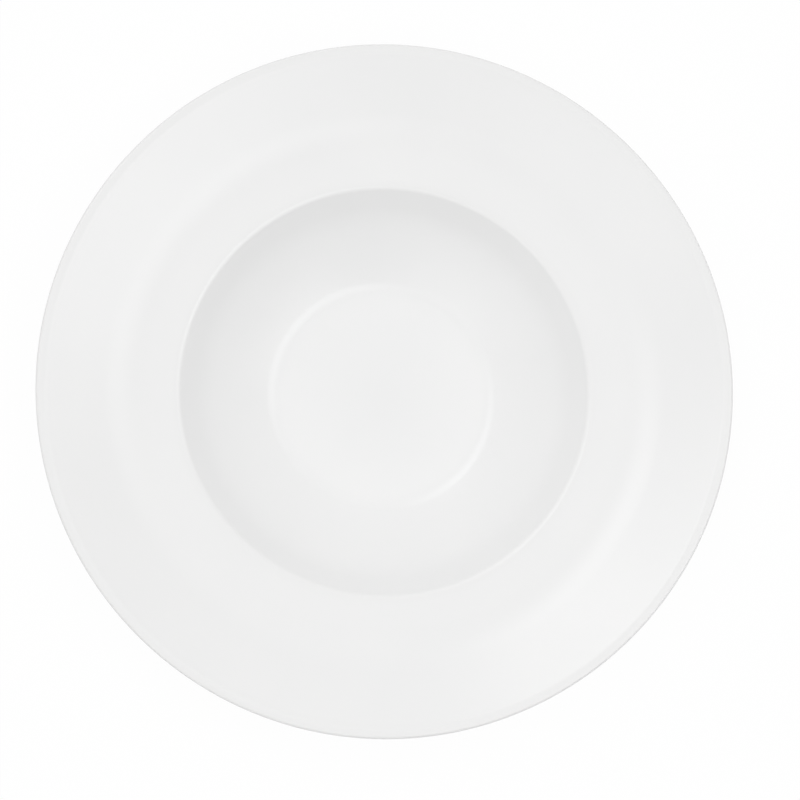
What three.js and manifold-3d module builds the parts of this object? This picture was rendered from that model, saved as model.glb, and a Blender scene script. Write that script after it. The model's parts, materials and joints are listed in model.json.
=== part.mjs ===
// A risotto plate: one porcelain body with a wide rim, a shallow round well and a foot ring, coated with glaze.
// The glaze covers everything but the foot ring's lower edge, which parts it into two coats: one over the face,
// the rim and the back, and one inside the foot ring.
// Millimetres, +Z up. The origin is on the plate's axis, in the plane that the foot ring stands on.
import * as THREE from "three";
import { mergeVertices } from "three/addons/utils/BufferGeometryUtils.js";
import Module from "manifold-3d";

// Rim. Diameters and heights below are the fired body's, apart from the overall diameter, which is over the glaze.
const PLATE_DIAMETER = 300;
const RIM_RISE = 10; // from the ledge up to the rim's crest
const RIM_BEND_RADIUS = 60; // where the level ledge turns up into the sloping rim
const RIM_SHOULDER_RADIUS = 5.5; // where the sloping rim levels out again
const RIM_LAND = 2; // narrow level land along the crest
const RIM_EDGE_RADIUS = 0.9; // from the land to the rim's outermost point
const LEDGE_WIDTH = 24; // level ledge, from the well's lip to the middle of the bend

// Well, from its lip down to its floor.
const WELL_DIAMETER = 177.5; // at the lip, before it is rounded
const WELL_DEPTH = 21; // from the ledge down to the floor
const LIP_RADIUS = 4.5; // rounds the lip itself
const LIP_BACK_RADIUS = 6; // the hollow behind the lip, on the plate's back
const UPSTAND_HEIGHT = 7.5; // the steep part of the wall, under the lip
const UPSTAND_ANGLE = THREE.MathUtils.degToRad(36); // above the level
const UPSTAND_FILLET = 50; // between the upstand and the dished part of the wall
const DISH_RADIUS = 220; // the gently dished part of the wall, in section
const FLOOR_DIAMETER = 96; // flat floor, before its edge is filleted
const FLOOR_FILLET = 16; // between the floor and the dished part of the wall

// Body and foot ring.
const WALL_THICKNESS = 4.4; // from the floor to the rim; it is thicker over the foot ring
const BASE_CLEARANCE = 4; // from the table up to the flat base inside the foot ring
const FOOT_SETOUT = 9; // from the floor's edge out to the middle of the foot ring
const FOOT_WIDTH = 4;
const FOOT_ROUND = 1; // both lower edges of the foot ring
const FOOT_FILLET = 2; // where the foot ring joins the base and the back

// Glaze.
const GLAZE_THICKNESS = 0.3;
const BARE_FOOT_HEIGHT = 1.6; // the glaze is wiped off the foot ring below this height
const WIPE_MARGIN = 1; // how far the wiped space reaches past the foot ring on each side

// How finely the round shapes are cut into flat facets.
const TURN_SEGMENTS = 48;
const CHORD_ERROR = 0.1;

const QUARTER = Math.PI / 2;

// Levels of the body's surfaces and radii of its corners, worked out from the sizes above.
const floorLevel = BASE_CLEARANCE + WALL_THICKNESS;
const ledgeLevel = floorLevel + WELL_DEPTH;
const crestLevel = ledgeLevel + RIM_RISE;
const floorRadius = FLOOR_DIAMETER / 2;
const lipRadius = WELL_DIAMETER / 2;
const rimRadius = PLATE_DIAMETER / 2 - GLAZE_THICKNESS;
const footInner = floorRadius + FOOT_SETOUT - FOOT_WIDTH / 2;
const footOuter = footInner + FOOT_WIDTH;

// The rim levels out over a shoulder to the land on its crest, and turns down over a tight round at its edge. Its
// slope is the one that is tangent to the shoulder.
const bendCorner = new THREE.Vector2(lipRadius + LEDGE_WIDTH, ledgeLevel);
const edge = new THREE.Vector2(rimRadius - RIM_EDGE_RADIUS, crestLevel - RIM_EDGE_RADIUS);
const shoulder = new THREE.Vector2(edge.x - RIM_LAND, crestLevel - RIM_SHOULDER_RADIUS);
const toShoulder = shoulder.clone().sub(bendCorner);
const rimSlope = Math.atan2(toShoulder.y, toShoulder.x) + Math.asin(RIM_SHOULDER_RADIUS / toShoulder.length());

// A larger round under the edge runs from the rim's outermost point to its back, which lies a wall below its face.
const outermost = new THREE.Vector2(rimRadius, edge.y).sub(bendCorner);
const edgeBelowFace = outermost.x * Math.sin(rimSlope) - outermost.y * Math.cos(rimSlope);
const underRadius = (WALL_THICKNESS - edgeBelowFace) / (1 - Math.sin(rimSlope));

// The upstand runs up and out to the lip; upstandNormal points off it into the well.
const upstand = new THREE.Vector2(Math.cos(UPSTAND_ANGLE), Math.sin(UPSTAND_ANGLE));
const upstandNormal = new THREE.Vector2(-upstand.y, upstand.x);
const upstandFoot = new THREE.Vector2(
  lipRadius - UPSTAND_HEIGHT / Math.tan(UPSTAND_ANGLE),
  ledgeLevel - UPSTAND_HEIGHT,
);

// The dished part of the wall is an arc from the floor's edge to the upstand's foot, centred above them.
const dishStart = new THREE.Vector2(floorRadius, floorLevel);
const dishChord = upstandFoot.clone().sub(dishStart);
const dishCentre = new THREE.Vector2(-dishChord.y, dishChord.x)
  .setLength(Math.sqrt(DISH_RADIUS ** 2 - dishChord.lengthSq() / 4))
  .add(dishStart.clone().add(upstandFoot).divideScalar(2));

// How far a circle's centre stands beside the dish's centre, when it touches the dish and lies at this level.
const besideDish = (distance, level) => Math.sqrt(distance ** 2 - (level - dishCentre.y) ** 2);

// Direction in which a point is seen from the dish's centre.
const fromDish = (point) => point.clone().sub(dishCentre).angle() - 2 * Math.PI;

// Centre of the fillet between the floor and the dish.
function floorFilletCentre() {
  const level = floorLevel + FLOOR_FILLET;
  return new THREE.Vector2(dishCentre.x + besideDish(DISH_RADIUS - FLOOR_FILLET, level), level);
}

// Centre of the fillet between the dish and the upstand: on the line that runs along the upstand at the fillet's
// radius, where it touches the dish from inside.
function upstandFilletCentre() {
  const start = upstandFoot.clone().addScaledVector(upstandNormal, UPSTAND_FILLET);
  const offset = start.clone().sub(dishCentre);
  const along = offset.dot(upstand);
  const reach = (DISH_RADIUS - UPSTAND_FILLET) ** 2 - offset.lengthSq() + along ** 2;
  return start.addScaledVector(upstand, -along - Math.sqrt(reach));
}

// Centre of the fillet between the foot ring's outer side and the plate's back, which the dish gives its shape.
function backFilletCentre() {
  const radius = footOuter + FOOT_FILLET;
  const reach = DISH_RADIUS + WALL_THICKNESS + FOOT_FILLET;
  return new THREE.Vector2(radius, dishCentre.y - Math.sqrt(reach ** 2 - (radius - dishCentre.x) ** 2));
}

// The body's section as arcs, from the middle of the floor out over the rim and back along the underside to the
// middle again. Straight lines join them. An arc that turns left has its centre in the air and is a hollow; one
// that turns right has its centre in the clay and is a round. Arcs end at the rim's crest and at its outermost
// point, so that both are true corners of the section.
function sectionArcs() {
  const floorFillet = floorFilletCentre();
  const upstandFillet = upstandFilletCentre();
  const dishLow = fromDish(floorFillet);
  const dishHigh = fromDish(upstandFillet);
  const halfTurn = Math.tan(UPSTAND_ANGLE / 2);
  const lip = new THREE.Vector2(lipRadius + LIP_RADIUS * halfTurn, ledgeLevel - LIP_RADIUS);
  const bend = new THREE.Vector2(-Math.tan(rimSlope / 2), 1).multiplyScalar(RIM_BEND_RADIUS).add(bendCorner);
  const under = new THREE.Vector2(rimRadius - underRadius, edge.y);
  const lipBack = new THREE.Vector2(
    lipRadius + (WALL_THICKNESS + LIP_BACK_RADIUS) * halfTurn,
    ledgeLevel - WALL_THICKNESS - LIP_BACK_RADIUS,
  );
  const backFillet = backFilletCentre();
  const baseFillet = new THREE.Vector2(footInner - FOOT_FILLET, BASE_CLEARANCE - FOOT_FILLET);
  const footOutEdge = new THREE.Vector2(footOuter - FOOT_ROUND, FOOT_ROUND);
  const footInEdge = new THREE.Vector2(footInner + FOOT_ROUND, FOOT_ROUND);
  const hollow = (centre, radius, from, to) => ({ centre, radius, from, to, round: false });
  const round = (centre, radius, from, to) => ({ centre, radius, from, to, round: true });
  return [
    hollow(floorFillet, FLOOR_FILLET, -QUARTER, dishLow),
    hollow(dishCentre, DISH_RADIUS, dishLow, dishHigh),
    hollow(upstandFillet, UPSTAND_FILLET, dishHigh, UPSTAND_ANGLE - QUARTER),
    round(lip, LIP_RADIUS, UPSTAND_ANGLE + QUARTER, QUARTER),
    hollow(bend, RIM_BEND_RADIUS, -QUARTER, rimSlope - QUARTER),
    round(shoulder, RIM_SHOULDER_RADIUS, rimSlope + QUARTER, QUARTER),
    round(edge, RIM_EDGE_RADIUS, QUARTER, 0),
    round(under, underRadius, 0, rimSlope - QUARTER),
    round(bend, RIM_BEND_RADIUS + WALL_THICKNESS, rimSlope - QUARTER, -QUARTER),
    hollow(lipBack, LIP_BACK_RADIUS, QUARTER, UPSTAND_ANGLE + QUARTER),
    round(upstandFillet, UPSTAND_FILLET + WALL_THICKNESS, UPSTAND_ANGLE - QUARTER, dishHigh),
    round(dishCentre, DISH_RADIUS + WALL_THICKNESS, dishHigh, fromDish(backFillet)),
    hollow(backFillet, FOOT_FILLET, fromDish(backFillet) + Math.PI, Math.PI),
    round(footOutEdge, FOOT_ROUND, 0, -QUARTER),
    round(footInEdge, FOOT_ROUND, -QUARTER, -Math.PI),
    hollow(baseFillet, FOOT_FILLET, 0, QUARTER),
  ];
}

// Points along the section, grown outwards by a coat's thickness: a hollow grows tighter and a round grows larger.
function sectionPoints(coat) {
  const points = [new THREE.Vector2(0, floorLevel + coat)];
  for (const { centre, radius, from, to, round } of sectionArcs()) {
    const steps = Math.ceil(Math.abs(to - from) / (2 * Math.acos(1 - CHORD_ERROR / radius)));
    const grown = round ? radius + coat : radius - coat;
    const arc = new THREE.EllipseCurve(centre.x, centre.y, grown, grown, from, to, round);
    points.push(...arc.getPoints(steps));
  }
  points.push(new THREE.Vector2(0, BASE_CLEARANCE - coat));
  return points;
}

// Turns a section round the plate's axis. Sections run clockwise, and the lathe wants them the other way.
function turned(points) {
  return new THREE.LatheGeometry(points.reverse(), TURN_SEGMENTS).rotateX(QUARTER);
}

const wasm = await Module();
wasm.setup();

// A closed three.js geometry as a solid that can be cut.
function solidOf(geometry) {
  const merged = mergeVertices(geometry.deleteAttribute("normal").deleteAttribute("uv"));
  return new wasm.Manifold(
    new wasm.Mesh({
      numProp: 3,
      vertProperties: merged.attributes.position.array,
      triVerts: new Uint32Array(merged.index.array),
    }),
  );
}

// A solid as a three.js geometry.
function geometryOf(solid) {
  const { vertProperties, triVerts } = solid.getMesh();
  const geometry = new THREE.BufferGeometry();
  geometry.setAttribute("position", new THREE.BufferAttribute(vertProperties, 3));
  geometry.setIndex(new THREE.BufferAttribute(triVerts, 1));
  geometry.computeVertexNormals();
  return geometry;
}

// The space round the foot ring's lower edge that is wiped clean of glaze before the last firing.
function wipedSpace() {
  const inner = footInner - WIPE_MARGIN;
  const outer = footOuter + WIPE_MARGIN;
  return turned([
    new THREE.Vector2(inner, BARE_FOOT_HEIGHT),
    new THREE.Vector2(outer, BARE_FOOT_HEIGHT),
    new THREE.Vector2(outer, -WIPE_MARGIN),
    new THREE.Vector2(inner, -WIPE_MARGIN),
    new THREE.Vector2(inner, BARE_FOOT_HEIGHT),
  ]);
}

const body = solidOf(turned(sectionPoints(0)));
const glaze = solidOf(turned(sectionPoints(GLAZE_THICKNESS))).subtract(body).subtract(solidOf(wipedSpace()));

// The bare foot parts the glaze in two. The larger coat is the one over the face, the rim and the back.
const [faceGlaze, footGlaze] = glaze.decompose().sort((a, b) => b.volume() - a.volume());

const porcelain = new THREE.MeshStandardMaterial({ color: 0xe9e6df, roughness: 0.65, metalness: 0 });
const glazeWhite = new THREE.MeshStandardMaterial({ color: 0xf3f3f2, roughness: 0.08, metalness: 0 });

function piece(name, solid, material) {
  const mesh = new THREE.Mesh(geometryOf(solid), material);
  mesh.name = name;
  return mesh;
}

const plate = new THREE.Group();
plate.name = "risotto_plate";
plate.add(
  piece("porcelain_body", body, porcelain),
  piece("face_glaze", faceGlaze, glazeWhite),
  piece("foot_glaze", footGlaze, glazeWhite),
);

export default plate;
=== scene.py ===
"""Looks of a risotto plate: its porcelain body, its two coats of glaze and the studio round it.

Lengths are in metres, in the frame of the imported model: the origin is on the plate's axis, in the plane
that the foot ring stands on, and +Z is up. A point of the plate's section is a pair: distance from the
axis, and level.
"""

import json
import logging
import math
from abc import ABC, abstractmethod
from dataclasses import dataclass, replace
from enum import Enum
from functools import cached_property
from typing import ClassVar

import bmesh
import bpy
from mathutils import Matrix, Vector


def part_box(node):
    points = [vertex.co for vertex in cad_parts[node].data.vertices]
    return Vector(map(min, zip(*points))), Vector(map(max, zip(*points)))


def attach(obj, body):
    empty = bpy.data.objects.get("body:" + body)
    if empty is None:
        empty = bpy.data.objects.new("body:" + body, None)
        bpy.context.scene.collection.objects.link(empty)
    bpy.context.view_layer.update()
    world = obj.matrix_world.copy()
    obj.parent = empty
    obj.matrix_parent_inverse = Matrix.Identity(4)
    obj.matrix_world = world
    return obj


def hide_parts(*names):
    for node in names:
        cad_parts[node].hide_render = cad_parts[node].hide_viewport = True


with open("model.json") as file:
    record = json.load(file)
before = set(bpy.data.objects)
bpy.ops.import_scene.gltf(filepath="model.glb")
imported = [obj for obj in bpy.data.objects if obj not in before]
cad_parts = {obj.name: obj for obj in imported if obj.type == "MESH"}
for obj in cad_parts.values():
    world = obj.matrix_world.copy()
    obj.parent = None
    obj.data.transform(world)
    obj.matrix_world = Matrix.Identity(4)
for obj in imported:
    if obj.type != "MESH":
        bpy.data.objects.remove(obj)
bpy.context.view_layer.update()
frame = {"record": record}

MM = 0.001
QUARTER = math.pi / 2
ROOT_BODY = "root"
# Layer of hollows and rounds, which also carries painted shade.
POOL_AND_SHADE_LAYER = "pool_and_shade"

log = logging.getLogger("risotto_plate")

Colour = tuple[float, float, float, float]
WHITE: Colour = (1, 1, 1, 1)


class Node(Enum):
    """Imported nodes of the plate."""

    BODY = "porcelain_body"
    FACE_GLAZE = "face_glaze"
    FOOT_GLAZE = "foot_glaze"


class Slot(Enum):
    """Material slots of the record."""

    BARE = "bare_porcelain"
    GLAZE = "white_glaze"


class Turn(Enum):
    """Which way the section turns along an arc, walked from the floor over the rim to the underside."""

    HOLLOW = 1
    ROUND = -1


class Fineness(Enum):
    """How finely an outline is cut: its longest straight step, and how far a chord leaves its arc."""

    SHOWN = (2.5 * MM, 0.002 * MM)
    HIDDEN = (10 * MM, 0.02 * MM)


class Ease(Enum):
    """How a value runs from one end of a range to the other."""

    STRAIGHT = "LINEAR"
    SOFT = "SMOOTHSTEP"


class Working(Enum):
    """What a node works out from two numbers."""

    LARGER = "MAXIMUM"
    BELOW = "LESS_THAN"
    PRODUCT = "MULTIPLY"
    FOLDED = "PINGPONG"


def left_of(direction: Vector) -> Vector:
    """Gives the direction a quarter turn to the left."""
    return Vector((-direction.y, direction.x))


def rotation(angle: float, axis: str) -> Matrix:
    """Gives a turn about one of the frame's axes, as a matrix that can also move things."""
    return Matrix.Rotation(angle, 4, axis)


@dataclass(frozen=True)
class Arc:
    """A round stretch of the fired body's section.

    Attributes:
        centre: Centre of the arc. It is in the air for a hollow, and in the clay for a round.
        radius: Radius on the bare body.
        start: Direction of the first point, as seen from the centre.
        end: Direction of the last point.
        turn: Whether the arc is a hollow or a round.
    """

    centre: Vector
    radius: float
    start: float
    end: float
    turn: Turn

    def grown(self, coat: float) -> "Arc":
        """Gives the arc under a coat: a hollow grows tighter and a round grows larger."""
        return replace(self, radius=self.radius - self.turn.value * coat)

    def backwards(self) -> "Arc":
        """Gives the same arc, walked from its end to its start."""
        return replace(self, start=self.end, end=self.start)

    def first(self) -> Vector:
        """Gives the arc's first point."""
        return self.centre + self.radius * Vector((math.cos(self.start), math.sin(self.start)))


@dataclass(frozen=True)
class PlateSection:
    """The plate's section: sizes of the fired body, and the arcs that follow from them.

    The overall sizes come from the frame; the others are the plate's own driving dimensions.

    Attributes:
        rim_radius: Radius of the body at its edge.
        crest_level: Level of the rim's crest.
        floor_level: Level of the well's floor.
        base_level: Level of the flat base inside the foot ring.
        foot_inner: Radius of the foot ring's inner side.
        bare_level: Level at which the glaze ends on the foot ring.
        glaze: Thickness of a coat of glaze.
        wall: Thickness of the body's wall.
        rim_rise: How far the crest stands above the ledge.
        rim_bend: Radius of the bend between the ledge and the rim.
        rim_shoulder: Radius of the shoulder between the sloping rim and its crest.
        rim_land: Width of the level land on the crest.
        rim_round: Radius of the tight round at the edge.
        ledge_width: Distance from the lip out to where the rim starts to rise.
        lip_radius: Radius of the well at its lip.
        lip_round: Radius of the lip's round.
        lip_back: Radius of the hollow behind the lip.
        upstand_height: Height of the steep upstand under the lip.
        upstand_angle: Angle of the upstand above the level.
        upstand_fillet: Radius of the fillet at the upstand's foot.
        dish_bend: Radius of the dished wall between the floor and the upstand.
        floor_radius: Radius of the floor.
        floor_fillet: Radius of the fillet round the floor.
        foot_width: Width of the foot ring.
        foot_round: Radius of the foot ring's lower edges.
        foot_fillet: Radius of the fillets on both sides of the foot ring.
    """

    rim_radius: float
    crest_level: float
    floor_level: float
    base_level: float
    foot_inner: float
    bare_level: float
    glaze: float
    wall: float = 4.4 * MM
    rim_rise: float = 10 * MM
    rim_bend: float = 60 * MM
    rim_shoulder: float = 5.5 * MM
    rim_land: float = 2 * MM
    rim_round: float = 0.9 * MM
    ledge_width: float = 24 * MM
    lip_radius: float = 88.75 * MM
    lip_round: float = 4.5 * MM
    lip_back: float = 6 * MM
    upstand_height: float = 7.5 * MM
    upstand_angle: float = math.radians(36)
    upstand_fillet: float = 50 * MM
    dish_bend: float = 220 * MM
    floor_radius: float = 48 * MM
    floor_fillet: float = 16 * MM
    foot_width: float = 4 * MM
    foot_round: float = 1 * MM
    foot_fillet: float = 2 * MM

    @classmethod
    def from_frame(cls) -> "PlateSection":
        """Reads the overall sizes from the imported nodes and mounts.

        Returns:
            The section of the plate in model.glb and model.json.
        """
        _, body_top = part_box(Node.BODY.value)
        _, face_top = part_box(Node.FACE_GLAZE.value)
        foot_bottom, foot_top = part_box(Node.FOOT_GLAZE.value)
        glaze = face_top.z - body_top.z
        mounts = {mount["name"]: mount["pos_m"] for mount in frame["record"]["mounts"]}
        _, _, glazed_floor = mounts["well_floor"]
        return cls(
            rim_radius=body_top.x,
            crest_level=body_top.z,
            floor_level=glazed_floor - glaze,
            base_level=foot_top.z,
            foot_inner=foot_top.x,
            bare_level=foot_bottom.z,
            glaze=glaze,
        )

    @cached_property
    def ledge_level(self) -> float:
        """Level of the ledge between the well and the rim."""
        return self.crest_level - self.rim_rise

    @cached_property
    def foot_outer(self) -> float:
        """Radius of the foot ring's outer side."""
        return self.foot_inner + self.foot_width

    @cached_property
    def bend_corner(self) -> Vector:
        """Where the level ledge and the sloping rim would meet without the bend between them."""
        return Vector((self.lip_radius + self.ledge_width, self.ledge_level))

    @cached_property
    def edge_centre(self) -> Vector:
        """Centre of the tight round between the level land on the rim's crest and its outermost point."""
        return Vector((self.rim_radius - self.rim_round, self.crest_level - self.rim_round))

    @cached_property
    def shoulder_centre(self) -> Vector:
        """Centre of the shoulder between the sloping rim and the land on its crest."""
        return Vector((self.edge_centre.x - self.rim_land, self.crest_level - self.rim_shoulder))

    @cached_property
    def rim_slope(self) -> float:
        """Angle of the rim above the level: the slope that is tangent to its shoulder."""
        reach = self.shoulder_centre - self.bend_corner
        return math.atan2(reach.y, reach.x) + math.asin(self.rim_shoulder / reach.length)

    @cached_property
    def bend_centre(self) -> Vector:
        """Centre of the bend where the level ledge turns up into the rim."""
        return self.bend_corner + self.rim_bend * Vector((-math.tan(self.rim_slope / 2), 1))

    @cached_property
    def under_round(self) -> float:
        """Radius of the round under the edge, from the rim's outermost point to its back."""
        reach = Vector((self.rim_radius, self.edge_centre.y)) - self.bend_corner
        below_face = reach.x * math.sin(self.rim_slope) - reach.y * math.cos(self.rim_slope)
        return (self.wall - below_face) / (1 - math.sin(self.rim_slope))

    @cached_property
    def upstand_foot(self) -> Vector:
        """Where the steep upstand under the lip starts, before its fillet."""
        run = self.upstand_height / math.tan(self.upstand_angle)
        return Vector((self.lip_radius - run, self.ledge_level - self.upstand_height))

    @cached_property
    def dish_centre(self) -> Vector:
        """Centre of the dished part of the wall, from the floor's edge to the upstand's foot."""
        start = Vector((self.floor_radius, self.floor_level))
        chord = self.upstand_foot - start
        height = math.sqrt(self.dish_bend**2 - chord.length_squared / 4)
        return start + chord / 2 + left_of(chord).normalized() * height

    def from_dish(self, point: Vector) -> float:
        """Gives the direction in which a point under the dish's centre is seen from that centre."""
        offset = point - self.dish_centre
        return math.atan2(offset.y, offset.x)

    @cached_property
    def floor_hollow(self) -> Vector:
        """Centre of the fillet between the floor and the dish."""
        level = self.floor_level + self.floor_fillet
        reach = self.dish_bend - self.floor_fillet
        run = math.sqrt(reach**2 - (level - self.dish_centre.y) ** 2)
        return Vector((self.dish_centre.x + run, level))

    @cached_property
    def upstand_hollow(self) -> Vector:
        """Centre of the fillet between the dish and the upstand, which touches both from inside."""
        along = Vector((math.cos(self.upstand_angle), math.sin(self.upstand_angle)))
        start = self.upstand_foot + left_of(along) * self.upstand_fillet
        offset = start - self.dish_centre
        shift = offset.dot(along)
        reach = (self.dish_bend - self.upstand_fillet) ** 2 - offset.length_squared + shift**2
        return start - along * (shift + math.sqrt(reach))

    @cached_property
    def back_hollow(self) -> Vector:
        """Centre of the fillet between the foot ring's outer side and the plate's back."""
        radius = self.foot_outer + self.foot_fillet
        reach = self.dish_bend + self.wall + self.foot_fillet
        drop = math.sqrt(reach**2 - (radius - self.dish_centre.x) ** 2)
        return Vector((radius, self.dish_centre.y - drop))

    def over_the_face(self) -> list[Arc]:
        """Lists the arcs of the well and the rim.

        Returns:
            Arcs from the floor's edge out to the rim's outermost point.
        """
        dish_low = self.from_dish(self.floor_hollow)
        dish_high = self.from_dish(self.upstand_hollow)
        half_turn = math.tan(self.upstand_angle / 2)
        lip = Vector((self.lip_radius + self.lip_round * half_turn, self.ledge_level - self.lip_round))
        steep = self.upstand_angle - QUARTER
        slope = self.rim_slope - QUARTER
        return [
            Arc(self.floor_hollow, self.floor_fillet, -QUARTER, dish_low, Turn.HOLLOW),
            Arc(self.dish_centre, self.dish_bend, dish_low, dish_high, Turn.HOLLOW),
            Arc(self.upstand_hollow, self.upstand_fillet, dish_high, steep, Turn.HOLLOW),
            Arc(lip, self.lip_round, self.upstand_angle + QUARTER, QUARTER, Turn.ROUND),
            Arc(self.bend_centre, self.rim_bend, -QUARTER, slope, Turn.HOLLOW),
            Arc(self.shoulder_centre, self.rim_shoulder, self.rim_slope + QUARTER, QUARTER, Turn.ROUND),
            Arc(self.edge_centre, self.rim_round, QUARTER, 0, Turn.ROUND),
        ]

    def down_the_back(self) -> list[Arc]:
        """Lists the arcs of the plate's back.

        Returns:
            Arcs from the rim's outermost point in to the foot ring's outer side.
        """
        steep = self.upstand_angle - QUARTER
        slope = self.rim_slope - QUARTER
        dish_high = self.from_dish(self.upstand_hollow)
        foot = self.from_dish(self.back_hollow)
        depth = self.wall + self.lip_back
        behind_lip = Vector((
            self.lip_radius + depth * math.tan(self.upstand_angle / 2),
            self.ledge_level - depth,
        ))
        under = Vector((self.rim_radius - self.under_round, self.edge_centre.y))
        return [
            Arc(under, self.under_round, 0, slope, Turn.ROUND),
            Arc(self.bend_centre, self.rim_bend + self.wall, slope, -QUARTER, Turn.ROUND),
            Arc(behind_lip, self.lip_back, QUARTER, self.upstand_angle + QUARTER, Turn.HOLLOW),
            Arc(self.upstand_hollow, self.upstand_fillet + self.wall, steep, dish_high, Turn.ROUND),
            Arc(self.dish_centre, self.dish_bend + self.wall, dish_high, foot, Turn.ROUND),
            Arc(self.back_hollow, self.foot_fillet, foot + math.pi, math.pi, Turn.HOLLOW),
        ]

    def round_the_foot(self) -> list[Arc]:
        """Lists the arcs of the foot ring's lower side.

        Returns:
            Its two rounded edges, from outside to inside.
        """
        outer = Vector((self.foot_outer - self.foot_round, self.foot_round))
        inner = Vector((self.foot_inner + self.foot_round, self.foot_round))
        return [
            Arc(outer, self.foot_round, 0, -QUARTER, Turn.ROUND),
            Arc(inner, self.foot_round, -QUARTER, -math.pi, Turn.ROUND),
        ]

    def inside_the_foot(self) -> list[Arc]:
        """Lists the fillet between the foot ring's inner side and the flat base."""
        centre = Vector((self.foot_inner - self.foot_fillet, self.base_level - self.foot_fillet))
        return [Arc(centre, self.foot_fillet, 0, QUARTER, Turn.HOLLOW)]

    def glaze_edge(self, radius: float, start: float) -> Arc:
        """Gives the rounded edge of the glaze where it was wiped off the foot ring.

        Args:
            radius: Radius of the foot ring's side that the edge lies on.
            start: Direction of the edge's first point.

        Returns:
            A quarter round of the glaze's own thickness.
        """
        centre = Vector((radius, self.bare_level + self.glaze))
        return Arc(centre, self.glaze, start, start - QUARTER, Turn.ROUND)


class SectionPen:
    """Draws a section with bmesh operators, in the plane y = 0, and turns it round the plate's axis.

    Each vertex keeps, in a layer of its own, how far the section turns there: above 0 in a hollow, where
    glaze pools, and below 0 on a round, where it runs thin. A stretch may also get painted shade in this
    layer, which darkens it the same way.

    Attributes:
        turn_steps: Steps of a full turn round the plate's axis.
        merge_distance: Points that lie closer together than this are one point.
        tightest: Radius at which glaze pools or runs thin as far as it can.
        mesh: What was drawn so far.
        pool_and_shade: Layer of the hollows and rounds, and of painted shade.
        tip: Vertex that was drawn last.
        fineness: How finely the next stretches are cut.
    """

    turn_steps: ClassVar[int] = 192
    merge_distance: ClassVar[float] = 0.0005 * MM
    tightest: ClassVar[float] = 2 * MM

    def __init__(self, start: Vector, pool_and_shade: float = 0) -> None:
        """Sets the pen down.

        Args:
            start: First point of the section.
            pool_and_shade: How far glaze pools there, together with painted shade.
        """
        self.mesh = bmesh.new()
        self.pool_and_shade = self.mesh.verts.layers.float.new(POOL_AND_SHADE_LAYER)
        self.tip = self.mesh.verts.new(self.in_space(start))
        self.tip[self.pool_and_shade] = pool_and_shade
        self.fineness = Fineness.SHOWN

    @staticmethod
    def in_space(point: Vector) -> Vector:
        """Gives a point of the section as a point in space."""
        return Vector((point.x, 0, point.y))

    def line_to(self, point: Vector, pool_and_shade: float = 0) -> None:
        """Draws a straight stretch in equal steps.

        Args:
            point: Where the stretch ends.
            pool_and_shade: How far glaze pools, together with painted shade, at the stretch's start; it
                thins out evenly to its end.
        """
        travel = self.in_space(point) - self.tip.co
        if travel.length < self.merge_distance:
            return
        longest, _ = self.fineness.value
        steps = math.ceil(travel.length / longest)
        for step in range(1, steps + 1):
            made = bmesh.ops.extrude_vert_indiv(self.mesh, verts=[self.tip])
            self.tip = made["verts"][0]
            self.tip[self.pool_and_shade] = pool_and_shade * (1 - step / steps)
            bmesh.ops.translate(self.mesh, verts=[self.tip], vec=travel / steps)

    def arc(self, arc: Arc) -> None:
        """Draws a straight stretch to an arc, and then the arc.

        Args:
            arc: The arc, with its coat.
        """
        self.line_to(arc.first())
        _, stray = self.fineness.value
        sweep = arc.end - arc.start
        steps = math.ceil(abs(sweep) / (2 * math.acos(1 - min(stray / arc.radius, 1))))
        self.tip[self.pool_and_shade] = arc.turn.value * min(1, self.tightest / arc.radius)
        made = bmesh.ops.spin(
            self.mesh,
            geom=[self.tip],
            cent=self.in_space(arc.centre),
            axis=(0, -1, 0),
            angle=sweep,
            steps=steps,
        )
        self.tip = next(item for item in made["geom_last"] if isinstance(item, bmesh.types.BMVert))

    def arcs(self, arcs: list[Arc]) -> None:
        """Draws several arcs, with straight stretches between them."""
        for arc in arcs:
            self.arc(arc)

    def turned(self, name: str) -> bpy.types.Object:
        """Turns the section round the plate's axis.

        Args:
            name: Name of the piece.

        Returns:
            The piece's object, with smooth faces that point out.
        """
        bmesh.ops.spin(
            self.mesh,
            geom=self.mesh.verts[:] + self.mesh.edges[:],
            cent=(0, 0, 0),
            axis=(0, 0, 1),
            angle=2 * math.pi,
            steps=self.turn_steps,
            use_merge=True,
        )
        bmesh.ops.remove_doubles(self.mesh, verts=self.mesh.verts[:], dist=self.merge_distance)
        bmesh.ops.recalc_face_normals(self.mesh, faces=self.mesh.faces[:])
        for face in self.mesh.faces:
            face.smooth = True
        data = bpy.data.meshes.new(name)
        self.mesh.to_mesh(data)
        self.mesh.free()
        piece = bpy.data.objects.new(name, data)
        bpy.context.scene.collection.objects.link(piece)
        return piece


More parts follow.
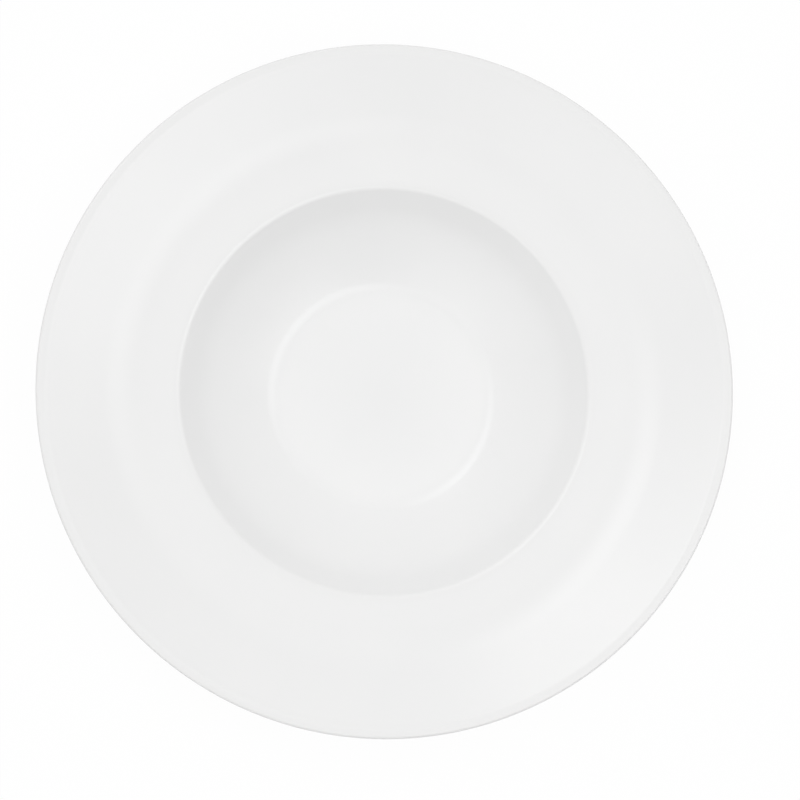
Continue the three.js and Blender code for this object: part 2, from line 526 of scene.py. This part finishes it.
class NodeBench:
    """Adds nodes to a node tree and wires them, so that a finish reads as a short list of steps.

    The sockets of a colour blend go by number, because blends of plain numbers have the same names.

    Attributes:
        blend_share: Socket that takes the share of a colour blend.
        blend_first: Socket that takes its first colour.
        blend_second: Socket that takes its second colour.
        blend_result: Socket that gives the blended colour.
        noise_range: Range that a noise mostly stays within.
        noise_roughness: How much each finer layer of a noise adds to it.
        plain_detail: How many finer layers a plain noise has.
        first_scatter: Count of the matte surfaces from which on a ray only lights things.
        tree: The node tree.
    """

    blend_share: ClassVar[int] = 0
    blend_first: ClassVar[int] = 6
    blend_second: ClassVar[int] = 7
    blend_result: ClassVar[int] = 2
    noise_range: ClassVar[tuple[float, float]] = (0.3, 0.7)
    noise_roughness: ClassVar[float] = 0.5
    plain_detail: ClassVar[float] = 2.0
    first_scatter: ClassVar[int] = 1

    def __init__(self, tree: bpy.types.NodeTree) -> None:
        """Clears the tree.

        Args:
            tree: Node tree of a material or of the world.
        """
        self.tree = tree
        tree.nodes.clear()

    def add(self, kind: str, inputs: dict[str | int, object], **settings: object) -> bpy.types.Node:
        """Adds one node.

        Args:
            kind: Blender's name of the node's type.
            inputs: What goes into its sockets, by name or number: a value, or the socket it comes from.
            settings: The node's own settings.

        Returns:
            The new node.
        """
        node = self.tree.nodes.new(kind)
        for name, value in settings.items():
            setattr(node, name, value)
        for key, value in inputs.items():
            if isinstance(value, bpy.types.NodeSocket):
                self.tree.links.new(value, node.inputs[key])
            else:
                node.inputs[key].default_value = value
        return node

    def place(self) -> bpy.types.NodeSocket:
        """Gives the piece's own coordinates, in metres."""
        return self.add("ShaderNodeTexCoord", {}).outputs["Object"]

    def noise(
        self, place: bpy.types.NodeSocket, size: float, detail: float = plain_detail
    ) -> bpy.types.NodeSocket:
        """Adds an even noise.

        Args:
            place: Coordinates that it is read at.
            size: How large its blotches are, in metres.
            detail: How many finer layers it has.

        Returns:
            The noise, mostly within the bench's range of noise.
        """
        inputs = {"Vector": place, "Scale": 1 / size, "Detail": detail, "Roughness": self.noise_roughness}
        return self.add("ShaderNodeTexNoise", inputs).outputs["Fac"]

    def spread(
        self,
        value: bpy.types.NodeSocket,
        source: tuple[float, float],
        target: tuple[float, float] = (0, 1),
        ease: Ease = Ease.STRAIGHT,
    ) -> bpy.types.NodeSocket:
        """Maps one range of a value to another, and holds it at both ends.

        Args:
            value: What is mapped.
            source: The range that is mapped.
            target: The range that it becomes.
            ease: How the value runs between the two ends.

        Returns:
            The mapped value.
        """
        inputs = {"Value": value, "From Min": source[0], "From Max": source[1]}
        inputs |= {"To Min": target[0], "To Max": target[1]}
        node = self.add("ShaderNodeMapRange", inputs, clamp=True, interpolation_type=ease.value)
        return node.outputs["Result"]

    def combine(self, working: Working, first: object, second: object) -> bpy.types.NodeSocket:
        """Works out one number from two.

        Args:
            working: What is done with them.
            first: A number, or the socket that it comes from.
            second: A number, or the socket that it comes from.

        Returns:
            The result.
        """
        return self.add("ShaderNodeMath", {0: first, 1: second}, operation=working.value).outputs[0]

    def blend(self, share: object, first: object, second: object) -> bpy.types.NodeSocket:
        """Blends two colours.

        Args:
            share: How much of the second colour shows, or the socket that it comes from.
            first: A colour, or the socket that it comes from.
            second: A colour, or the socket that it comes from.

        Returns:
            The blended colour.
        """
        inputs = {self.blend_share: share, self.blend_first: first, self.blend_second: second}
        return self.add("ShaderNodeMix", inputs, data_type="RGBA").outputs[self.blend_result]

    def bump(
        self, height: bpy.types.NodeSocket, depth: float, under: bpy.types.NodeSocket | None = None
    ) -> bpy.types.NodeSocket:
        """Raises and sinks the surface by a height.

        Args:
            height: Height, between 0 and 1.
            depth: How far the surface rises where the height is 1, in metres.
            under: Normal of a coarser bump that this one lies on.

        Returns:
            The bumped normal.
        """
        inputs = {"Height": height, "Distance": depth}
        if under is not None:
            inputs["Normal"] = under
        return self.add("ShaderNodeBump", inputs).outputs["Normal"]

    def mix(self, share: object, first: bpy.types.Node, second: bpy.types.Node) -> bpy.types.Node:
        """Mixes two shaders.

        Args:
            share: How much of the second shader shows, or the socket that it comes from.
            first: A node that gives a shader.
            second: A node that gives a shader.

        Returns:
            The node that mixes them.
        """
        return self.add("ShaderNodeMixShader", {0: share, 1: first.outputs[0], 2: second.outputs[0]})

    def seen(self) -> bpy.types.NodeSocket:
        """Picks out the rays that show the surroundings, and not those that only light something.

        Returns:
            1 on a ray that is straight from the camera, mirrored or through glass, unless a matte surface
            scattered it on the way, and 0 on any other ray.
        """
        path = self.add("ShaderNodeLightPath", {})
        straight, mirrored, through = (
            path.outputs[f"Is {kind} Ray"] for kind in ("Camera", "Glossy", "Transmission")
        )
        shown = self.combine(Working.LARGER, self.combine(Working.LARGER, straight, mirrored), through)
        unscattered = self.combine(Working.BELOW, path.outputs["Diffuse Depth"], self.first_scatter)
        return self.combine(Working.PRODUCT, shown, unscattered)


@dataclass(frozen=True)
class GlazeFinish:
    """White glaze, fused over porcelain: glossy and faintly wavy, a shade deeper where it pools, and
    darker where painted shade is laid in its layer.

    Attributes:
        name: Name of the material, which is its slot's.
        colour: Colour of the glaze between its clouds.
        clouded: Colour in the middle of a cloud.
        cloud_size: How large the clouds are.
        pooled_and_shaded: Colour where the glaze pools in a hollow, and where painted shade is laid in
            its layer.
        thin: Colour where it ran thin on a round.
        ior: Index of refraction.
        roughness: Its lowest and its highest roughness.
        smear_size: How large the smears of other roughness are.
        wave_size: How long the waves of its surface are.
        wave_depth: How deep they are.
        peel_size: How large the fine dimples of its surface are.
        peel_depth: How deep they are.
    """

    name: str = Slot.GLAZE.value
    colour: Colour = (0.85, 0.85, 0.848, 1)
    clouded: Colour = (0.84, 0.841, 0.84, 1)
    cloud_size: float = 40 * MM
    pooled_and_shaded: Colour = (0.804, 0.807, 0.807, 1)
    thin: Colour = (0.829, 0.828, 0.825, 1)
    ior: float = 1.5
    roughness: tuple[float, float] = (0.07, 0.12)
    smear_size: float = 25 * MM
    wave_size: float = 55 * MM
    wave_depth: float = 0.03 * MM
    peel_size: float = 1.6 * MM
    peel_depth: float = 0.0008 * MM

    def material(self) -> bpy.types.Material:
        """Makes the glaze.

        Returns:
            A material that reads the piece's own coordinates and its layer of hollows, rounds and painted
            shade.
        """
        material = bpy.data.materials.new(self.name)
        material.use_nodes = True
        bench = NodeBench(material.node_tree)
        place = bench.place()
        tone = self.tone(bench, place)
        smears = bench.noise(place, self.smear_size)
        waves = bench.bump(bench.noise(place, self.wave_size), self.wave_depth)
        shader = bench.add("ShaderNodeBsdfPrincipled", {
            "Base Color": tone,
            "Roughness": bench.spread(smears, bench.noise_range, self.roughness),
            "IOR": self.ior,
            "Normal": bench.bump(bench.noise(place, self.peel_size), self.peel_depth, waves),
        })
        bench.add("ShaderNodeOutputMaterial", {"Surface": shader.outputs["BSDF"]})
        return material

    def tone(self, bench: NodeBench, place: bpy.types.NodeSocket) -> bpy.types.NodeSocket:
        """Mixes the glaze's colour: soft clouds, pooling hollows, painted shade and thin rounds.

        Args:
            bench: Bench of the glaze's node tree.
            place: Coordinates on the piece.

        Returns:
            The colour.
        """
        clouds = bench.spread(bench.noise(place, self.cloud_size), bench.noise_range)
        clouded = bench.blend(clouds, self.colour, self.clouded)
        pool_and_shade = bench.add("ShaderNodeAttribute", {}, attribute_name=POOL_AND_SHADE_LAYER).outputs["Fac"]
        # Pooling glaze in hollows and painted shade in the floor's middle both blend towards this colour.
        deep = bench.blend(bench.spread(pool_and_shade, (0, 1)), clouded, self.pooled_and_shaded)
        return bench.blend(bench.spread(pool_and_shade, (0, -1)), deep, self.thin)


@dataclass(frozen=True)
class BarePorcelainFinish:
    """Porcelain without glaze: matte and faintly warm, with fine rings where the foot was ground.

    Attributes:
        name: Name of the material, which is its slot's.
        colour: Colour between the rings.
        ground: Colour on the rings.
        ring_pitch: Distance from ring to ring.
        ring_depth: How deep the rings are.
        ring_wander: How far the rings stray from true circles.
        waves_per_unit: Rings to a metre that a wave texture has at scale 1.
        grain_size: How large the grain is.
        grain_detail: How many finer layers the grain has.
        grain_depth: How deep the grain is.
        roughness: Its lowest and its highest roughness.
    """

    name: str = Slot.BARE.value
    colour: Colour = (0.76, 0.745, 0.71, 1)
    ground: Colour = (0.68, 0.665, 0.635, 1)
    ring_pitch: float = 0.35 * MM
    ring_depth: float = 0.006 * MM
    ring_wander: float = 1.5
    waves_per_unit: float = 20 / (2 * math.pi)
    grain_size: float = 0.5 * MM
    grain_detail: float = 4
    grain_depth: float = 0.01 * MM
    roughness: tuple[float, float] = (0.6, 0.8)

    def material(self) -> bpy.types.Material:
        """Makes the bare porcelain.

        Returns:
            A material that reads the piece's own coordinates.
        """
        material = bpy.data.materials.new(self.name)
        material.use_nodes = True
        bench = NodeBench(material.node_tree)
        place = bench.place()
        grain = bench.noise(place, self.grain_size, self.grain_detail)
        rings = self.rings(bench, place)
        grained = bench.bump(grain, self.grain_depth)
        shader = bench.add("ShaderNodeBsdfPrincipled", {
            "Base Color": bench.blend(rings, self.colour, self.ground),
            "Roughness": bench.spread(grain, bench.noise_range, self.roughness),
            "Normal": bench.bump(rings, self.ring_depth, grained),
        })
        bench.add("ShaderNodeOutputMaterial", {"Surface": shader.outputs["BSDF"]})
        return material

    def rings(self, bench: NodeBench, place: bpy.types.NodeSocket) -> bpy.types.NodeSocket:
        """Adds the grinding rings round the plate's axis.

        Args:
            bench: Bench of the porcelain's node tree.
            place: Coordinates on the piece.

        Returns:
            The rings, between 0 and 1.
        """
        inputs = {
            "Vector": place,
            "Scale": 1 / (self.waves_per_unit * self.ring_pitch),
            "Distortion": self.ring_wander,
            "Detail": bench.plain_detail,
        }
        node = bench.add("ShaderNodeTexWave", inputs, wave_type="RINGS", rings_direction="Z")
        return node.outputs["Fac"]


@dataclass(frozen=True)
class FloorFinish:
    """White floor that glows, as a light table does, and keeps the plate's soft shadow.

    It is clear from below, so that the plate's underside can be seen.

    Attributes:
        name: Name of the material.
        colour: Colour of its matte share.
        glow: The share of it that glows.
    """

    name: str = "white_floor"
    colour: Colour = (0.9, 0.9, 0.9, 1)
    glow: float = 0.95

    def material(self) -> bpy.types.Material:
        """Makes the floor's finish.

        Returns:
            A material that mixes matte white and an even glow, and lets everything through from below.
        """
        material = bpy.data.materials.new(self.name)
        material.use_nodes = True
        bench = NodeBench(material.node_tree)
        matte = bench.add("ShaderNodeBsdfDiffuse", {"Color": self.colour})
        glow = bench.add("ShaderNodeEmission", {"Color": WHITE})
        top = bench.mix(self.glow, matte, glow)
        below = bench.add("ShaderNodeNewGeometry", {}).outputs["Backfacing"]
        clear = bench.add("ShaderNodeBsdfTransparent", {"Color": WHITE})
        bench.add("ShaderNodeOutputMaterial", {"Surface": bench.mix(below, top, clear).outputs[0]})
        return material


@dataclass(frozen=True)
class PlatePiece(ABC):
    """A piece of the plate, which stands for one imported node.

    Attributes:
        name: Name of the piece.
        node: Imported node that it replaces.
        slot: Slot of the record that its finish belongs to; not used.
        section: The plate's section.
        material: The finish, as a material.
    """

    name: str
    node: Node
    slot: Slot
    section: PlateSection
    material: bpy.types.Material

    @abstractmethod
    def outline(self) -> SectionPen:
        """Draws the piece's section; each kind of piece has its own.

        Returns:
            The pen that drew it.
        """

    def make(self) -> bpy.types.Object:
        """Builds the piece, dresses it and sets it on the frame.

        Returns:
            The finished piece.
        """
        piece = self.outline().turned(self.name)
        piece.data.materials.append(self.material)
        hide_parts(self.node.value)
        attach(piece, ROOT_BODY)
        log.info("%s: %d faces, stands for %s", self.name, len(piece.data.polygons), self.node.value)
        return piece


class PorcelainBody(PlatePiece):
    """The fired body, bare of glaze. Only the lower edge of its foot ring shows."""

    def outline(self) -> SectionPen:
        """Draws the body's section, from the floor over the rim and back under the foot to the base.

        Returns:
            The pen that drew it.
        """
        section = self.section
        pen = SectionPen(Vector((0, section.floor_level)))
        pen.fineness = Fineness.HIDDEN
        pen.arcs(section.over_the_face() + section.down_the_back())
        pen.fineness = Fineness.SHOWN
        pen.arcs(section.round_the_foot() + section.inside_the_foot())
        pen.fineness = Fineness.HIDDEN
        pen.line_to(Vector((0, section.base_level)))
        return pen


@dataclass(frozen=True)
class FaceGlaze(PlatePiece):
    """The coat over the well, the rim and the back, down to the bare edge of the foot ring.

    Painted shade: the middle of the floor is coloured a shade darker, standing in for a dark reflection
    that falls there.

    Attributes:
        floor_painted_shade: How strongly the floor's middle is painted darker, as painted shade.
        floor_painted_shade_radius: How far out from the axis the painted shade reaches.
    """

    # Painted shade in the floor's middle, carried by the layer of hollows and rounds.
    floor_painted_shade: float = 0.55
    floor_painted_shade_radius: float = 40 * MM

    def outline(self) -> SectionPen:
        """Draws the coat's section: its surface over the rim and down the back, then back along the body.

        Returns:
            The pen that drew it.
        """
        section = self.section
        bare = section.over_the_face() + section.down_the_back()
        floor = section.floor_level + section.glaze
        # Painted shade: the floor's middle is coloured darker through the layer of hollows and rounds.
        pen = SectionPen(Vector((0, floor)), self.floor_painted_shade)
        pen.line_to(Vector((self.floor_painted_shade_radius, floor)), self.floor_painted_shade)
        pen.arcs([arc.grown(section.glaze) for arc in bare])
        pen.arc(section.glaze_edge(section.foot_outer, 0))
        pen.fineness = Fineness.HIDDEN
        pen.arcs([arc.backwards() for arc in reversed(bare)])
        pen.line_to(Vector((0, section.floor_level)))
        return pen


class FootGlaze(PlatePiece):
    """The coat inside the foot ring, over the base."""

    def outline(self) -> SectionPen:
        """Draws the coat's section: along the body from the base to its edge, and back over its surface.

        Returns:
            The pen that drew it.
        """
        section = self.section
        bare = section.inside_the_foot()
        pen = SectionPen(Vector((0, section.base_level)))
        pen.fineness = Fineness.HIDDEN
        pen.arcs([arc.backwards() for arc in reversed(bare)])
        pen.fineness = Fineness.SHOWN
        pen.arc(section.glaze_edge(section.foot_inner, -QUARTER))
        pen.arcs([arc.grown(section.glaze) for arc in bare])
        pen.line_to(Vector((0, section.base_level - section.glaze)))
        return pen


@dataclass(frozen=True)
class Softbox:
    """A large flat lamp, hung high over the plate, whose face fades out towards its borders.

    Attributes:
        name: Name of the lamp.
        zenith: How far it hangs from straight above the plate.
        azimuth: Side on which it hangs, from +X towards +Y.
        turn: How far its face is turned about its own axis.
        width: Width of its face.
        depth: Depth of its face.
        radiance: How bright the middle of its face is; a white wall in plain light is 1.
        distance: How far from the plate it hangs.
        fade: Share of the way from a border to the middle over which the face brightens.
    """

    name: str
    zenith: float
    azimuth: float
    turn: float
    width: float
    depth: float
    radiance: float
    distance: float = 4.0
    fade: float = 0.9

    def hang(self, target: Vector) -> bpy.types.Object:
        """Hangs the lamp.

        Args:
            target: What it is aimed at.

        Returns:
            The lamp.
        """
        data = bpy.data.lights.new(self.name, "AREA")
        data.shape = "RECTANGLE"
        data.size = self.width
        data.size_y = self.depth
        data.energy = math.pi * self.width * self.depth * self.radiance
        self.soften(data)
        lamp = bpy.data.objects.new(self.name, data)
        bpy.context.scene.collection.objects.link(lamp)
        aim = rotation(self.azimuth, "Z") @ rotation(self.zenith, "Y")
        out = Matrix.Translation((0, 0, self.distance)) @ rotation(self.turn, "Z")
        lamp.matrix_world = Matrix.Translation(target) @ aim @ out
        return lamp

    def soften(self, data: bpy.types.AreaLight) -> None:
        """Lets the lamp's face fade out towards its borders, as cloth with a bulb behind its middle does.

        Args:
            data: The lamp's data.
        """
        data.use_nodes = True
        bench = NodeBench(data.node_tree)
        face = bench.add("ShaderNodeNewGeometry", {}).outputs["Parametric"]
        across = bench.add("ShaderNodeSeparateXYZ", {"Vector": face})
        middle = 1 / 2
        borders = (0, self.fade * middle)
        fades = [
            bench.spread(bench.combine(Working.FOLDED, place, middle), borders, ease=Ease.SOFT)
            for place in (across.outputs["X"], across.outputs["Y"])
        ]
        glow = bench.add("ShaderNodeEmission", {"Strength": bench.combine(Working.PRODUCT, *fades)})
        bench.add("ShaderNodeOutputLight", {"Surface": glow.outputs[0]})


@dataclass(frozen=True)
class PhotoCamera:
    """The camera at the photograph's viewpoint: almost straight above, a little to the front left.

    Attributes:
        aim: The point that it looks at.
        distance: How far from that point it stands.
        lean_front: How far it leans from straight above to the front.
        lean_left: How far it leans from straight above to the left.
        focal_length: Focal length, in millimetres.
        sensor_width: Width of its sensor, in millimetres.
    """

    aim: Vector = Vector((6.28, -4.39, 37.15)) * MM
    distance: float = 2.2
    lean_front: float = math.radians(5.77)
    lean_left: float = math.radians(3.523)
    focal_length: float = 230.4
    sensor_width: float = 36.0

    def set_up(self) -> bpy.types.Object:
        """Makes the camera the scene's camera.

        Returns:
            The camera.
        """
        data = bpy.data.cameras.new("photo_camera")
        data.lens = self.focal_length
        data.sensor_width = self.sensor_width
        camera = bpy.data.objects.new("photo_camera", data)
        bpy.context.scene.collection.objects.link(camera)
        lean = rotation(-self.lean_left, "Y") @ rotation(self.lean_front, "X")
        out = Matrix.Translation((0, 0, self.distance))
        camera.matrix_world = Matrix.Translation(self.aim) @ lean @ out
        bpy.context.scene.camera = camera
        return camera


@dataclass(frozen=True)
class Studio:
    """A plain white studio: a floor, a soft dome of light, three softboxes and the camera.

    The dome is brightest at its pole, which leans from straight above to the plate's back left.

    Attributes:
        floor_finish: Finish of the floor.
        floor_half: Half the floor's width.
        floor_shift: How far the floor's middle lies beside the plate's axis.
        floor_gap: How far the floor lies under the foot ring.
        dome_levels: How bright the dome is a quarter turn from its pole, and at its pole.
        dome_lean: How far the pole leans from straight above.
        dome_azimuth: Side to which it leans, from +X towards +Y.
        softboxes: The lamps.
        camera: The camera.
    """

    floor_finish: FloorFinish = FloorFinish()
    floor_half: float = 15.0
    floor_shift: float = 2.0
    floor_gap: float = 0.05 * MM
    dome_levels: tuple[float, float] = (0.055, 1.175)
    dome_lean: float = math.radians(11.5)
    dome_azimuth: float = math.radians(122)
    softboxes: tuple[Softbox, ...] = (
        Softbox(
            name="back_softbox",
            zenith=math.radians(24),
            azimuth=math.radians(124),
            turn=math.radians(-37),
            width=3.35,
            depth=2.15,
            radiance=1.4,
        ),
        Softbox(
            name="right_softbox",
            zenith=math.radians(24.3),
            azimuth=math.radians(-24),
            turn=math.radians(-10),
            width=3.55,
            depth=4.35,
            radiance=1.65,
        ),
        Softbox(
            name="front_softbox",
            zenith=math.radians(27),
            azimuth=math.radians(-125.5),
            turn=math.radians(89.5),
            width=4.2,
            depth=3.6,
            radiance=0.74,
        ),
    )
    camera: PhotoCamera = PhotoCamera()

    def set_up(self, target: Vector) -> None:
        """Sets up everything round the plate.

        Args:
            target: The point of the plate that the lamps are aimed at.
        """
        bpy.context.scene.view_settings.view_transform = "Standard"
        self.lay_floor()
        self.raise_dome()
        for softbox in self.softboxes:
            softbox.hang(target)
            log.info("%s hung", softbox.name)
        self.camera.set_up()

    def lay_floor(self) -> None:
        """Lays the floor a hair under the foot ring.

        The floor's middle is beside the plate, because a glowing face lights unevenly along its diagonal.
        """
        middle = Matrix.Translation((self.floor_shift, 0, -self.floor_gap))
        mesh = bmesh.new()
        bmesh.ops.create_grid(mesh, x_segments=1, y_segments=1, size=self.floor_half, matrix=middle)
        data = bpy.data.meshes.new("studio_floor")
        mesh.to_mesh(data)
        mesh.free()
        data.materials.append(self.floor_finish.material())
        floor = bpy.data.objects.new("studio_floor", data)
        bpy.context.scene.collection.objects.link(floor)
        log.info("studio_floor laid")

    def raise_dome(self) -> None:
        """Lights the plate with a soft dome, which looks white itself."""
        world = bpy.data.worlds.new("soft_dome")
        world.use_nodes = True
        bench = NodeBench(world.node_tree)
        look = bench.add("ShaderNodeTexCoord", {}).outputs["Generated"]
        lean = rotation(self.dome_azimuth, "Z") @ rotation(self.dome_lean, "Y")
        pole = lean @ Vector((0, 0, 1))
        height = bench.add("ShaderNodeVectorMath", {0: look, 1: pole}, operation="DOT_PRODUCT")
        light = bench.spread(height.outputs["Value"], (0, 1), self.dome_levels)
        sky = bench.add("ShaderNodeBackground", {"Color": bench.blend(bench.seen(), light, WHITE)})
        bench.add("ShaderNodeOutputWorld", {"Surface": sky.outputs[0]})
        bpy.context.scene.world = world
        log.info("soft_dome raised")


def main() -> None:
    """Builds the plate's pieces, then the studio round them."""
    logging.basicConfig(level=logging.INFO, format="%(name)s: %(message)s")
    section = PlateSection.from_frame()
    glaze = GlazeFinish().material()
    bare = BarePorcelainFinish().material()
    pieces = (
        PorcelainBody("plate_body", Node.BODY, Slot.BARE, section, bare),
        FaceGlaze("plate_face_glaze", Node.FACE_GLAZE, Slot.GLAZE, section, glaze),
        FootGlaze("plate_foot_glaze", Node.FOOT_GLAZE, Slot.GLAZE, section, glaze),
    )
    for piece in pieces:
        piece.make()
    Studio().set_up(Vector((0, 0, section.ledge_level)))


if __name__ == "__main__":
    main()
